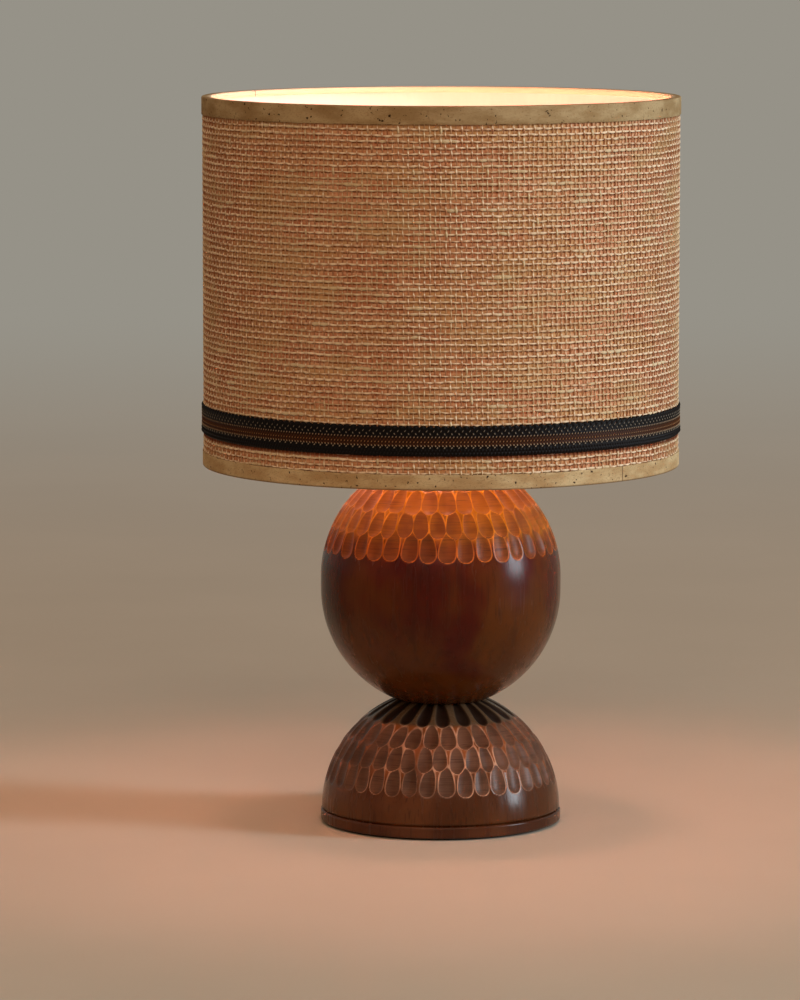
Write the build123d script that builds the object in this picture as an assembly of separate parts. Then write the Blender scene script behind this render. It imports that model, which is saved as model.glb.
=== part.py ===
from build123d import *
import math
import os

# Table lamp with a carved wooden ball on a carved dome, and a drum shade of open jute.
# Millimetres, +Z up. The front looks along -Y, and the origin is the middle of the surface it stands on.

# Clearances between neighbouring pieces
glue_line = 0.05
seat_gap = 0.3
running_gap = 0.05
thread_gap = 0.06
slip_gap = 0.1

# Overlap of shapes that are fused, and how far a cutting shape goes past what it cuts
weld = 0.5
tool_reach = 1.0

# Foot, dome and ball of turned and carved hardwood
felt_thickness = 1.2
felt_inset = 4.5
foot_ledge = 0.7
foot_thickness = 7.4
foot_edge_round = 1.4
foot_opening_radius = 24.0
dome_radius = 75.8
dome_groove_height = 0.9
dome_groove_depth = 1.1
joint_radius = 28.5
ball_swell = 0.4
ball_band = 8.2
ball_top_radius = 24.0

# Gouge cuts: rows round the dome and the ball, each row a ring of equal spoon-shaped cuts
gouge_depth = 1.3
gouge_land = 0.5
gouge_overrun = 1.4
cutter_proud = 0.05
dome_first_latitude = 19.7
dome_gouge_length = 14.8
dome_row_counts = (39, 38, 30)
dome_flute_count = 22
dome_flute_length = 20.0
dome_flute_latitude = 59.6
ball_first_latitude = 18.3
ball_gouge_length = 14.7
ball_row_counts = (38, 40, 33, 27)
ball_flute_count = 19
ball_flute_length = 13.5
ball_flute_latitude = 64.0

# Pipe, nut and washer that clamp the wood together
pipe_radius = 5.0
pipe_bore_radius = 3.9
pipe_nut_reach = 2.0
pipe_cap_reach = 7.5
wood_bore_radius = 5.4
counterbore_radius = 20.0
counterbore_depth = 13.6
washer_radius = 15.0
washer_thickness = 1.5
nut_across_flats = 17.0
nut_thickness = 4.0

# Screws that hold the foot disc
foot_screw_count = 3
foot_screw_circle = 52.0
foot_screw_radius = 2.0
foot_screw_head_radius = 4.0
foot_screw_head_height = 2.2
foot_screw_length = 22.0
foot_screw_turn = 30.0
foot_slot_width = 0.9
foot_slot_depth = 0.8

# Cord inlet at the rear of the dome
inlet_height = 17.6
inlet_bore_radius = 3.6
inlet_barrel_radius = 5.2
inlet_barrel_length = 13.0
inlet_flange_radius = 7.2
inlet_flange_thickness = 1.6
inlet_flange_round = 0.6
inlet_seat_depth = 2.6
inlet_channel_radius = 3.9

# Brass cover disc and the lamp holder with its rotary switch
ball_cap_radius = 22.0
ball_cap_thickness = 3.0
neck_radius = 7.0
neck_height = 8.0
holder_cap_height = 20.0
holder_cap_wall = 1.0
holder_rim_width = 2.7
holder_rim_height = 2.5
bell_floor = 1.5
bell_shoulder_inset = 4.0
bell_shoulder_drop = 4.5
bell_shoulder_wall = 1.6
holder_radius = 19.5
holder_wall = 1.3
holder_height = 36.0
holder_lip_radius = 15.0
holder_lip_thickness = 1.0
core_floor = 11.0
screw_shell_radius = 13.35
screw_shell_wall = 0.4
screw_shell_height = 22.0
contact_length = 15.0
contact_width = 5.0
contact_strip = 0.5
contact_rise = 1.8
terminal_circle = 10.5
terminal_screw_radius = 1.5
terminal_head_radius = 2.7
terminal_head_height = 1.8
terminal_screw_length = 6.0
terminal_slot_width = 0.7
terminal_slot_depth = 0.6

switch_height = 5.2
switch_shaft_radius = 2.0
switch_shaft_reach = 30.0
rotor_radius = 4.3
rotor_length = 8.4
rotor_start = 5.3
rotor_flat_length = 4.2
rotor_flat_depth = 1.1
key_hub_radius = 3.4
key_hub_length = 6.0
key_start = 21.0
key_length = 17.0
key_tip_height = 15.6
key_thickness = 3.6
key_waist = 5.4
key_neck_length = 5.0
key_swell_length = 6.0
key_tip_round = 3.0

# Two rings on the holder that clamp the shade's fitter
ring_start = 14.5
ring_height = 5.5
ring_body_radius = 22.8
ring_flange_radius = 25.5
ring_flange_thickness = 2.0
ring_notch_count = 16
ring_notch_radius = 1.1
ring_notch_outset = 0.3

# Shade frame of steel wire
fitter_bore_radius = 20.4
fitter_radius = 28.5
fitter_thickness = 1.8
fitter_recess = 44.0
arm_count = 3
arm_radius = 1.5
arm_flat_radius = 42.0
arm_foot_length = 9.0
arm_bend_radius = 9.0
frame_wire_radius = 1.5

# Drum shade
shade_radius = 150.0
shade_height = 232.6
fabric_thickness = 0.8
liner_thickness = 0.6
tape_thickness = 0.8
top_tape_width = 11.2
bottom_tape_width = 9.5
braid_rise = 20.7
braid_width = 18.8
braid_base = 0.7
braid_rib_height = 0.9
braid_rib_count = 5

# Screw-in bulb
bulb_cap_radius = 13.0
bulb_cap_wall = 0.3
bulb_cap_height = 22.0
bulb_tip_radius = 4.6
bulb_tip_height = 1.4
bulb_insulator_radius = 7.0
bulb_insulator_height = 3.4
bulb_insulator_flare = 2.5
bulb_glass_radius = 30.0
bulb_length = 107.0
bulb_glass_wall = 0.8
bulb_neck_radius = 12.2
bulb_neck_height = 14.0
bulb_join_latitude = -28.0
stem_radius = 4.0
stem_height = 40.0
stem_flare_radius = 10.5
stem_flare_height = 8.0
stem_rise = 2.0
stem_rim = 1.0
filament_radius = 0.35
filament_bow = 9.0
filament_inset = 1.0

# Sizes, heights and latitudes worked out from the sizes above
foot_radius = dome_radius + foot_ledge
ball_radius = dome_radius + ball_swell
foot_top = felt_thickness + foot_thickness
dome_groove_latitude = math.degrees(math.asin(dome_groove_height / dome_radius))
dome_joint_latitude = math.degrees(math.acos(joint_radius / dome_radius))
ball_joint_latitude = math.degrees(math.acos(joint_radius / ball_radius))
ball_top_latitude = math.degrees(math.acos(ball_top_radius / ball_radius))
joint_height = foot_top + math.sqrt(dome_radius**2 - joint_radius**2)
ball_low_centre = joint_height + math.sqrt(ball_radius**2 - joint_radius**2)
ball_high_centre = ball_low_centre + ball_band
ball_top = ball_high_centre + math.sqrt(ball_radius**2 - ball_top_radius**2)
counterbore_top = foot_top + counterbore_depth
holder_foot = ball_top + ball_cap_thickness
holder_seat = holder_foot + holder_cap_height
holder_top = holder_seat + holder_height
core_radius = holder_radius - holder_wall - slip_gap
core_bore_radius = screw_shell_radius + screw_shell_wall + slip_gap
core_floor_top = holder_seat + core_floor
core_top = holder_top - holder_lip_thickness - slip_gap
switch_axis = holder_seat + switch_height
lower_ring_foot = holder_seat + ring_start
lower_ring_top = lower_ring_foot + ring_height
fitter_foot = lower_ring_top + seat_gap
fitter_top = fitter_foot + fitter_thickness
upper_ring_foot = fitter_top + seat_gap
shade_foot = fitter_foot - fitter_recess
shade_top = shade_foot + shade_height
cloth_foot = shade_foot + tape_thickness + glue_line
cloth_top = shade_top - tape_thickness - glue_line
liner_outer = shade_radius - fabric_thickness - glue_line
liner_inner = liner_outer - liner_thickness
wire_circle = liner_inner - glue_line - frame_wire_radius
bottom_wire_height = cloth_foot + frame_wire_radius + glue_line
top_wire_height = cloth_top - frame_wire_radius - glue_line
bulb_foot = core_floor_top + contact_rise + contact_strip + seat_gap
bulb_cap_foot = bulb_foot + bulb_tip_height + bulb_insulator_height
bulb_cap_top = bulb_cap_foot + bulb_cap_height
bulb_top = bulb_foot + bulb_length


def turned(*edges):
    """Solid of revolution about Z of the closed outline that the edges make in the XZ plane."""
    return revolve(make_face(Wire(list(edges))), Axis.Z)


def turned_polygon(*points):
    """Solid of revolution about Z of a straight-sided outline, its points given as (radius, height)."""
    corners = [(radius, 0, height) for radius, height in points]
    return revolve(make_face(Polyline(*corners, close=True)), Axis.Z)


def ball_arc(radius, centre, low, high):
    """Arc of a ball's outline in the XZ plane between two latitudes in degrees, for a ball centred at a height."""
    points = []
    for latitude in (low, (low + high) / 2, high):
        angle = math.radians(latitude)
        points.append((radius * math.cos(angle), 0, centre + radius * math.sin(angle)))
    return ThreePointArc(*points)


def tube(inner, outer, low, high):
    """Plain round ring between two heights."""
    return turned_polygon((inner, low), (outer, low), (outer, high), (inner, high))


def rod(radius, low, high):
    """Upright round bar between two heights."""
    return Pos(0, 0, (low + high) / 2) * Cylinder(radius, high - low)


def cross_rod(radius, start, end, height, direction):
    """Level round bar that leaves the axis towards a direction, in degrees from +X."""
    bar = Pos((start + end) / 2, 0, height) * Rot(0, 90, 0) * Cylinder(radius, end - start)
    return Rot(0, 0, direction) * bar


def gouge_chip(ball, width, length):
    """Chip that one gouge stroke takes out of a ball, at the ball's north pole with the stroke along Y.

    The tool's round edge follows an arc, so the floor of the cut is part of a ring torus. Both radii follow
    from the cut's width, length and depth. The stroke runs on past both ends of the cut, and the chip ends
    just proud of the ball's surface.
    """
    edge_radius = 1 / (2 * gouge_depth / (width / 2) ** 2 - 1 / ball)
    stroke_radius = 1 / (2 * gouge_depth / (length / 2) ** 2 - 1 / ball)
    height = 2 * gouge_depth
    half = math.sqrt(2 * edge_radius * height - height**2)
    top = height - gouge_depth
    floor = ThreePointArc((-half, 0, top), (0, 0, -gouge_depth), (half, 0, top))
    section = make_face(Wire([floor, Line((half, 0, top), (-half, 0, top))]))
    stroke_axis = Axis((0, 0, stroke_radius - gouge_depth), (1, 0, 0))
    reach = 2 * gouge_overrun * math.degrees(math.asin(length / 2 / stroke_radius))
    blank = revolve(section, stroke_axis, reach).rotate(stroke_axis, -reach / 2)
    skin = Pos(0, 0, -ball) * Sphere(ball + cutter_proud)
    return Pos(0, 0, ball) * (blank & skin)


def gouge_row(ball, centre, latitude, count, length, turn):
    """One ring of gouge chips at a latitude of the ball, each as wide as its share of the ring less a land."""
    ring = ball * math.cos(math.radians(latitude))
    chip = Rot(90 - latitude, 0, 0) * gouge_chip(ball, 2 * math.pi * ring / count - gouge_land, length)
    return [Pos(0, 0, centre) * Rot(0, 0, 360 * (copy + turn) / count) * chip for copy in range(count)]


def gouge_rows(ball, centre, first_latitude, length, counts):
    """Rings of gouge chips one above the other, every other ring turned by half a cut."""
    step = math.degrees((length + gouge_land) / ball)
    chips = []
    for row, count in enumerate(counts):
        chips += gouge_row(ball, centre, first_latitude + row * step, count, length, row % 2 / 2)
    return chips


def carve(blank, chips):
    """Takes the chips out of the turned blank in one cut."""
    return blank - Compound(children=[chip.solid() for chip in chips])


def make_base_dome():
    """Carved half ball with the groove above the foot, the nut's counterbore and the cord's channel."""
    groove_top = foot_top + dome_groove_height
    skirt = dome_radius - dome_groove_depth
    start = math.sqrt(dome_radius**2 - dome_groove_height**2)
    blank = turned(
        Line((wood_bore_radius, 0, foot_top), (skirt, 0, foot_top)),
        Line((skirt, 0, foot_top), (skirt, 0, groove_top)),
        Line((skirt, 0, groove_top), (start, 0, groove_top)),
        ball_arc(dome_radius, foot_top, dome_groove_latitude, dome_joint_latitude),
        Line((joint_radius, 0, joint_height), (wood_bore_radius, 0, joint_height)),
        Line((wood_bore_radius, 0, joint_height), (wood_bore_radius, 0, foot_top)),
    )
    chips = gouge_rows(dome_radius, foot_top, dome_first_latitude, dome_gouge_length, dome_row_counts)
    chips += gouge_row(
        dome_radius, foot_top, dome_flute_latitude, dome_flute_count, dome_flute_length, 0.5
    )
    dome = carve(blank, chips)
    dome -= rod(counterbore_radius, foot_top - tool_reach, counterbore_top)
    seat = dome_radius - inlet_seat_depth
    inner_end = seat - inlet_barrel_length
    mouth = dome_radius + tool_reach
    dome -= cross_rod(inlet_flange_radius + slip_gap, seat, mouth, inlet_height, 90)
    dome -= cross_rod(inlet_barrel_radius + slip_gap, inner_end - slip_gap, seat + tool_reach, inlet_height, 90)
    dome -= cross_rod(inlet_channel_radius, counterbore_radius - tool_reach, inner_end, inlet_height, 90)
    hole_end = felt_thickness + foot_screw_length + slip_gap
    for place in foot_screw_places():
        dome -= place * rod(foot_screw_radius, foot_top - tool_reach, hole_end)
    return dome


def foot_screw_places():
    """Places of the foot screws, evenly spaced on their circle."""
    turns = [foot_screw_turn + 360 * copy / foot_screw_count for copy in range(foot_screw_count)]
    return [Rot(0, 0, turn) * Pos(foot_screw_circle, 0, 0) for turn in turns]


def make_foot_disc():
    """Turned wooden disc under the dome, open in the middle to reach the nut."""
    disc = tube(foot_opening_radius, foot_radius, felt_thickness, foot_top)
    rims = disc.edges().filter_by(GeomType.CIRCLE).sort_by(lambda edge: edge.radius)[-2:]
    disc = fillet(rims, foot_edge_round)
    for place in foot_screw_places():
        disc -= place * rod(foot_screw_radius + slip_gap, felt_thickness - tool_reach, foot_top + tool_reach)
        disc -= place * countersink(slip_gap)
    return disc


def countersink(gap):
    """Cone of the screw head, flush with the foot disc's underside."""
    depth = foot_screw_head_height + gap
    cone = Cone(foot_screw_head_radius + gap, foot_screw_radius + gap, depth)
    return Pos(0, 0, felt_thickness + depth / 2) * cone


def make_foot_screws():
    """Countersunk wood screws with a straight slot."""
    shank_end = felt_thickness + foot_screw_length
    screw = countersink(0) + rod(foot_screw_radius, felt_thickness + weld, shank_end)
    slot = Box(2 * foot_screw_head_radius + tool_reach, foot_slot_width, 2 * foot_slot_depth)
    screw -= Pos(0, 0, felt_thickness) * slot
    return [place * screw for place in foot_screw_places()]


def make_felt_pad():
    """Felt disc glued under the foot, covering the screws and the opening."""
    return rod(foot_radius - felt_inset, 0, felt_thickness)


def make_cord_bushing():
    """Bushing in the dome's rear, with a flange outside and the bore that a lead passes."""
    seat = dome_radius - inlet_seat_depth
    barrel = cross_rod(inlet_barrel_radius, seat - inlet_barrel_length, seat + weld, inlet_height, 90)
    flange = cross_rod(inlet_flange_radius, seat, seat + inlet_flange_thickness, inlet_height, 90)
    rim = flange.edges().filter_by(GeomType.CIRCLE).sort_by(Axis.Y)[-1:]
    body = fillet(rim, inlet_flange_round) + barrel
    low = seat - inlet_barrel_length - tool_reach
    high = seat + inlet_flange_thickness + tool_reach
    return body - cross_rod(inlet_bore_radius, low, high, inlet_height, 90)


def make_base_washer():
    """Steel washer against the counterbore's roof."""
    return tube(pipe_radius + slip_gap, washer_radius, counterbore_top - washer_thickness, counterbore_top)


def make_base_nut():
    """Hexagon nut on the pipe's lower end."""
    top = counterbore_top - washer_thickness
    outline = RegularPolygon(nut_across_flats / 2, 6, major_radius=False)
    nut = Pos(0, 0, top - nut_thickness) * extrude(outline, nut_thickness)
    return nut - rod(pipe_radius + thread_gap, top - nut_thickness - tool_reach, top + tool_reach)


def make_threaded_pipe():
    """Steel pipe through dome and ball, from below the nut into the holder's neck."""
    low = counterbore_top - washer_thickness - nut_thickness - pipe_nut_reach
    return tube(pipe_bore_radius, pipe_radius, low, holder_foot + pipe_cap_reach)


def make_ball_body():
    """Carved ball: two half balls with a short straight band between, flat below and above, bored through."""
    blank = turned(
        Line((wood_bore_radius, 0, joint_height), (joint_radius, 0, joint_height)),
        ball_arc(ball_radius, ball_low_centre, -ball_joint_latitude, 0),
        Line((ball_radius, 0, ball_low_centre), (ball_radius, 0, ball_high_centre)),
        ball_arc(ball_radius, ball_high_centre, 0, ball_top_latitude),
        Line((ball_top_radius, 0, ball_top), (wood_bore_radius, 0, ball_top)),
        Line((wood_bore_radius, 0, ball_top), (wood_bore_radius, 0, joint_height)),
    )
    chips = gouge_rows(ball_radius, ball_high_centre, ball_first_latitude, ball_gouge_length, ball_row_counts)
    chips += gouge_row(
        ball_radius, ball_high_centre, ball_flute_latitude, ball_flute_count, ball_flute_length, 0.5
    )
    return carve(blank, chips)


def make_ball_cap():
    """Brass cover disc on top of the ball."""
    disc = tube(pipe_radius + slip_gap, ball_cap_radius, ball_top, holder_foot)
    rim = disc.edges().filter_by(GeomType.CIRCLE).group_by(Axis.Z)[-1].sort_by(lambda edge: edge.radius)[-1:]
    return fillet(rim, ball_cap_thickness / 2)


def make_holder_cap():
    """Lower shell of the holder: a threaded neck that opens into a bell with a thick rim."""
    bore = pipe_radius + thread_gap
    neck_top = holder_foot + neck_height
    rim_inner = holder_radius - holder_rim_width
    rim_foot = holder_seat - holder_rim_height
    shoulder = holder_radius - bell_shoulder_inset
    floor = neck_top + bell_floor
    throat = bore + holder_cap_wall
    outer_bell = ThreePointArc(
        (neck_radius, 0, neck_top),
        (shoulder, 0, rim_foot - bell_shoulder_drop),
        (holder_radius, 0, rim_foot),
    )
    inner_bell = ThreePointArc(
        (rim_inner, 0, rim_foot + weld),
        (shoulder - bell_shoulder_wall, 0, rim_foot - bell_shoulder_drop + weld),
        (throat, 0, floor),
    )
    return turned(
        Line((bore, 0, holder_foot), (neck_radius, 0, holder_foot)),
        Line((neck_radius, 0, holder_foot), (neck_radius, 0, neck_top)),
        outer_bell,
        Line((holder_radius, 0, rim_foot), (holder_radius, 0, holder_seat)),
        Line((holder_radius, 0, holder_seat), (rim_inner, 0, holder_seat)),
        Line((rim_inner, 0, holder_seat), (rim_inner, 0, rim_foot + weld)),
        inner_bell,
        Line((throat, 0, floor), (bore, 0, floor)),
        Line((bore, 0, floor), (bore, 0, holder_foot)),
    )


def make_holder_shell():
    """Upper shell of the holder, with an inward lip that holds the porcelain down and a hole for the switch."""
    inner = holder_radius - holder_wall
    lip_foot = holder_top - holder_lip_thickness
    shell = turned_polygon(
        (inner, holder_seat),
        (holder_radius, holder_seat),
        (holder_radius, holder_top),
        (holder_lip_radius, holder_top),
        (holder_lip_radius, lip_foot),
        (inner, lip_foot),
    )
    hole_radius = switch_shaft_radius + slip_gap
    return shell - cross_rod(hole_radius, inner - tool_reach, holder_radius + tool_reach, switch_axis, 0)


def make_holder_core():
    """Porcelain body: a cup for the screw shell above a thick floor with the switch's pocket."""
    core = rod(core_radius, holder_seat, core_top)
    core -= rod(core_bore_radius, core_floor_top, core_top + tool_reach)
    pocket_length = rotor_length + 2 * seat_gap
    pocket_width = 2 * (rotor_radius + seat_gap)
    pocket_top = switch_axis + rotor_radius + seat_gap
    pocket_foot = holder_seat - tool_reach
    pocket = Box(pocket_length, pocket_width, pocket_top - pocket_foot)
    core -= Pos(rotor_start - seat_gap + pocket_length / 2, 0, (pocket_foot + pocket_top) / 2) * pocket
    core -= cross_rod(switch_shaft_radius + running_gap, rotor_start, core_radius + tool_reach, switch_axis, 0)
    hole_top = holder_seat + terminal_screw_length + slip_gap
    hole = rod(terminal_screw_radius + running_gap, holder_seat - tool_reach, hole_top)
    for place in terminal_places():
        core -= place * hole
    return core


def terminal_places():
    """Places of the two terminal screws, at the sides of the switch."""
    return [Rot(0, 0, side) * Pos(terminal_circle, 0, 0) for side in (90, 270)]


def make_screw_shell():
    """Thin brass sleeve in the porcelain that the bulb screws into."""
    outer = screw_shell_radius + screw_shell_wall
    return tube(screw_shell_radius, outer, core_floor_top, core_floor_top + screw_shell_height)


def make_centre_contact():
    """Bent spring strip on the porcelain's floor, raised where the bulb's tip presses."""
    left = -contact_length / 2
    ramp = -contact_length / 6
    flat = contact_length / 12
    right = contact_length / 3
    low = core_floor_top
    high = core_floor_top + contact_rise
    strip = Polyline(
        (left, 0, low),
        (ramp, 0, low),
        (flat, 0, high),
        (right, 0, high),
        (right, 0, high + contact_strip),
        (flat - contact_strip / 2, 0, high + contact_strip),
        (ramp - contact_strip / 2, 0, low + contact_strip),
        (left, 0, low + contact_strip),
        close=True,
    )
    return extrude(make_face(strip), contact_width / 2, both=True)


def make_terminal_screws():
    """Two slotted screws under the porcelain that take the lead's wires."""
    head = rod(terminal_head_radius, holder_seat - terminal_head_height, holder_seat)
    shank = rod(terminal_screw_radius, holder_seat - weld, holder_seat + terminal_screw_length)
    slot = Box(2 * terminal_head_radius + tool_reach, terminal_slot_width, 2 * terminal_slot_depth)
    screw = head + shank - Pos(0, 0, holder_seat - terminal_head_height) * slot
    return [place * screw for place in terminal_places()]


def make_switch_rotor():
    """Switch drum in the porcelain's pocket, with two flats for its contacts."""
    end = rotor_start + rotor_length
    rotor = cross_rod(rotor_radius, rotor_start, end, switch_axis, 0)
    flat = Box(rotor_flat_length, 2 * rotor_radius, 2 * rotor_flat_depth)
    for side in (-1, 1):
        rotor -= Pos(rotor_start + rotor_flat_length / 2, 0, switch_axis + side * rotor_radius) * flat
    return rotor - cross_rod(switch_shaft_radius, rotor_start - tool_reach, end + tool_reach, switch_axis, 0)


def make_switch_shaft():
    """Steel shaft from the rotor out through the porcelain and the shell."""
    return cross_rod(switch_shaft_radius, rotor_start, switch_shaft_reach, switch_axis, 0)


def make_switch_key():
    """Turned hub with a flat thumb key that widens to a round tip."""
    hub = cross_rod(key_hub_radius, key_start, key_start + key_hub_length, switch_axis, 0)
    root = key_start + key_hub_length / 2
    end = key_start + key_length
    tip = key_tip_height / 2
    waist = key_waist / 2
    neck = root + key_neck_length
    swell = end - key_swell_length
    corner = end - key_tip_round
    upper_edge = Spline((root, 0, waist), (neck, 0, waist), (swell, 0, tip - slip_gap), (corner, 0, tip))
    lower_edge = Spline((corner, 0, -tip), (swell, 0, slip_gap - tip), (neck, 0, -waist), (root, 0, -waist))
    tip_edge = ThreePointArc((corner, 0, tip), (end, 0, 0), (corner, 0, -tip))
    root_edge = Line((root, 0, -waist), (root, 0, waist))
    blade = make_face(Wire([root_edge, upper_edge, tip_edge, lower_edge]))
    key = hub + Pos(0, 0, switch_axis) * extrude(blade, key_thickness / 2, both=True)
    return key - cross_rod(switch_shaft_radius, key_start - tool_reach, switch_shaft_reach, switch_axis, 0)


def make_shade_ring(low, flange_up):
    """Threaded clamp ring with a notched flange on the fitter's side."""
    bore = holder_radius + thread_gap
    high = low + ring_height
    ring = tube(bore, ring_body_radius, low, high)
    flange_low = high - ring_flange_thickness if flange_up else low
    flange = tube(bore, ring_flange_radius, flange_low, flange_low + ring_flange_thickness)
    notch_top = flange_low + ring_flange_thickness + tool_reach
    notch = rod(ring_notch_radius, flange_low - tool_reach, notch_top)
    notch = Pos(ring_flange_radius + ring_notch_outset, 0, 0) * notch
    ring += flange
    notches = [Rot(0, 0, 360 * copy / ring_notch_count) * notch for copy in range(ring_notch_count)]
    return ring - notches


def make_shade_fitter():
    """Flat steel ring of the shade frame that the two clamp rings grip."""
    return tube(fitter_bore_radius, fitter_radius, fitter_foot, fitter_top)


def make_shade_arms():
    """Bent wire arms from the fitter down to the top of the bottom wire ring, where they are welded."""
    start_height = (fitter_foot + fitter_top) / 2
    end_height = bottom_wire_height + frame_wire_radius + arm_radius
    end_radius = liner_inner - seat_gap
    path = FilletPolyline(
        (fitter_radius, 0, start_height),
        (arm_flat_radius, 0, start_height),
        (end_radius - arm_foot_length, 0, end_height),
        (end_radius, 0, end_height),
        radius=arm_bend_radius,
    )
    section = Plane(origin=(fitter_radius, 0, start_height), z_dir=(1, 0, 0)) * Circle(arm_radius)
    arm = sweep(section, path=path)
    return [Rot(0, 0, 90 + 360 * copy / arm_count) * arm for copy in range(arm_count)]


def make_wire_ring(height):
    """Round wire ring inside the liner."""
    return Pos(0, 0, height) * Torus(wire_circle, frame_wire_radius)


def make_tape(edge, width, upward):
    """Tape folded over a rim and its wire: an outer leg as wide as shown, a web, and a short inner leg."""
    side = 1 if upward else -1
    inner_leg_radius = wire_circle - frame_wire_radius - glue_line
    outer_leg_radius = shade_radius + glue_line
    under = edge + side * tape_thickness
    inner_end = edge + side * (tape_thickness + 2 * frame_wire_radius)
    return turned_polygon(
        (inner_leg_radius - tape_thickness, edge),
        (outer_leg_radius + tape_thickness, edge),
        (outer_leg_radius + tape_thickness, edge + side * width),
        (outer_leg_radius, edge + side * width),
        (outer_leg_radius, under),
        (inner_leg_radius, under),
        (inner_leg_radius, inner_end),
        (inner_leg_radius - tape_thickness, inner_end),
    )


def make_braid_band():
    """Woven band glued round the shade, with its cords as rounded ribs."""
    inner = shade_radius + glue_line
    face = inner + braid_base
    low = shade_foot + braid_rise
    high = low + braid_width
    rib = braid_width / braid_rib_count
    edges = [Line((inner, 0, high), (inner, 0, low)), Line((inner, 0, low), (face, 0, low))]
    for copy in range(braid_rib_count):
        foot = low + copy * rib
        edges.append(
            ThreePointArc((face, 0, foot), (face + braid_rib_height, 0, foot + rib / 2), (face, 0, foot + rib))
        )
    edges.append(Line((face, 0, high), (inner, 0, high)))
    return turned(*edges)


def make_bulb_glass():
    """Pear-shaped glass envelope, hollow, standing in the bulb's cap."""
    centre = bulb_top - bulb_glass_radius
    neck_foot = bulb_cap_foot + seat_gap
    neck_top = bulb_cap_top + bulb_neck_height
    join_angle = math.radians(bulb_join_latitude)
    tangent = (-math.sin(join_angle), 0, math.cos(join_angle))

    def outline(offset):
        neck = bulb_neck_radius - offset
        wall = Line((neck, 0, neck_foot), (neck, 0, neck_top))
        crown = ball_arc(bulb_glass_radius - offset, centre, bulb_join_latitude, 90)
        flare = Spline((neck, 0, neck_top), crown @ 0, tangents=[(0, 0, 1), tangent])
        return [wall, flare, crown]

    outer = turned(
        *outline(0),
        Line((0, 0, bulb_top), (0, 0, neck_foot)),
        Line((0, 0, neck_foot), (bulb_neck_radius, 0, neck_foot)),
    )
    inner = turned(
        *outline(bulb_glass_wall),
        Line((0, 0, bulb_top - bulb_glass_wall), (0, 0, neck_foot)),
        Line((0, 0, neck_foot), (bulb_neck_radius - bulb_glass_wall, 0, neck_foot)),
    )
    return outer - inner


def make_bulb_cap():
    """Screw cap of thin brass, closed round the insulator below."""
    inner = bulb_cap_radius - bulb_cap_wall
    return turned_polygon(
        (bulb_insulator_radius, bulb_cap_foot),
        (bulb_cap_radius, bulb_cap_foot),
        (bulb_cap_radius, bulb_cap_top),
        (inner, bulb_cap_top),
        (inner, bulb_cap_foot + bulb_cap_wall),
        (bulb_insulator_radius, bulb_cap_foot + bulb_cap_wall),
    )


def make_bulb_insulator():
    """Black glass cone between the cap and its tip contact."""
    low = bulb_foot + bulb_tip_height
    return turned_polygon(
        (0, low),
        (bulb_tip_radius, low),
        (bulb_insulator_radius + bulb_insulator_flare, bulb_cap_foot),
        (0, bulb_cap_foot),
    )


def make_bulb_tip():
    """Solder contact at the bulb's end."""
    tip = rod(bulb_tip_radius, bulb_foot, bulb_foot + bulb_tip_height)
    return fillet(tip.edges().group_by(Axis.Z)[0], bulb_tip_height / 2)


def make_bulb_stem():
    """Glass stem that flares out to the neck and carries the filament."""
    low = bulb_cap_foot + stem_rise
    flare_top = low + stem_flare_height
    high = low + stem_height
    return turned_polygon(
        (0, low),
        (stem_flare_radius, low),
        (stem_flare_radius, low + stem_rim),
        (stem_radius, flare_top),
        (stem_radius, high),
        (0, high),
    )


def make_bulb_filament():
    """Filament bowed between its two supports on top of the stem."""
    low = bulb_cap_foot + stem_rise + stem_height
    half = stem_radius - filament_inset
    bend = low + filament_bow - half
    path = Wire(
        [
            Line((-half, 0, low), (-half, 0, bend)),
            ThreePointArc((-half, 0, bend), (0, 0, low + filament_bow), (half, 0, bend)),
            Line((half, 0, bend), (half, 0, low)),
        ]
    )
    section = Plane(origin=(-half, 0, low), z_dir=(0, 0, 1)) * Circle(filament_radius)
    return sweep(section, path=path)


nodes = {
    "felt_pad": make_felt_pad(),
    "foot_disc": make_foot_disc(),
    "foot_screws": make_foot_screws(),
    "base_dome": make_base_dome(),
    "cord_bushing": make_cord_bushing(),
    "base_washer": make_base_washer(),
    "base_nut": make_base_nut(),
    "threaded_pipe": make_threaded_pipe(),
    "ball_body": make_ball_body(),
    "ball_cap": make_ball_cap(),
    "holder_cap": make_holder_cap(),
    "holder_shell": make_holder_shell(),
    "holder_core": make_holder_core(),
    "screw_shell": make_screw_shell(),
    "centre_contact": make_centre_contact(),
    "terminal_screws": make_terminal_screws(),
    "switch_rotor": make_switch_rotor(),
    "switch_shaft": make_switch_shaft(),
    "switch_key": make_switch_key(),
    "shade_ring_lower": make_shade_ring(lower_ring_foot, True),
    "shade_ring_upper": make_shade_ring(upper_ring_foot, False),
    "shade_fitter": make_shade_fitter(),
    "shade_arms": make_shade_arms(),
    "shade_bottom_ring": make_wire_ring(bottom_wire_height),
    "shade_top_ring": make_wire_ring(top_wire_height),
    "shade_liner": tube(liner_inner, liner_outer, cloth_foot, cloth_top),
    "shade_fabric": tube(shade_radius - fabric_thickness, shade_radius, cloth_foot, cloth_top),
    "top_trim": make_tape(shade_top, top_tape_width, False),
    "bottom_trim": make_tape(shade_foot, bottom_tape_width, True),
    "braid_band": make_braid_band(),
    "bulb_glass": make_bulb_glass(),
    "bulb_cap": make_bulb_cap(),
    "bulb_insulator": make_bulb_insulator(),
    "bulb_tip": make_bulb_tip(),
    "bulb_stem": make_bulb_stem(),
    "bulb_filament": make_bulb_filament(),
}

os.makedirs("parts", exist_ok=True)
for name, shape in nodes.items():
    piece = Compound(children=list(shape)) if isinstance(shape, list) else shape
    piece.label = name
    export_step(piece, f"parts/{name}.step")
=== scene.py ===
import math

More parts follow.
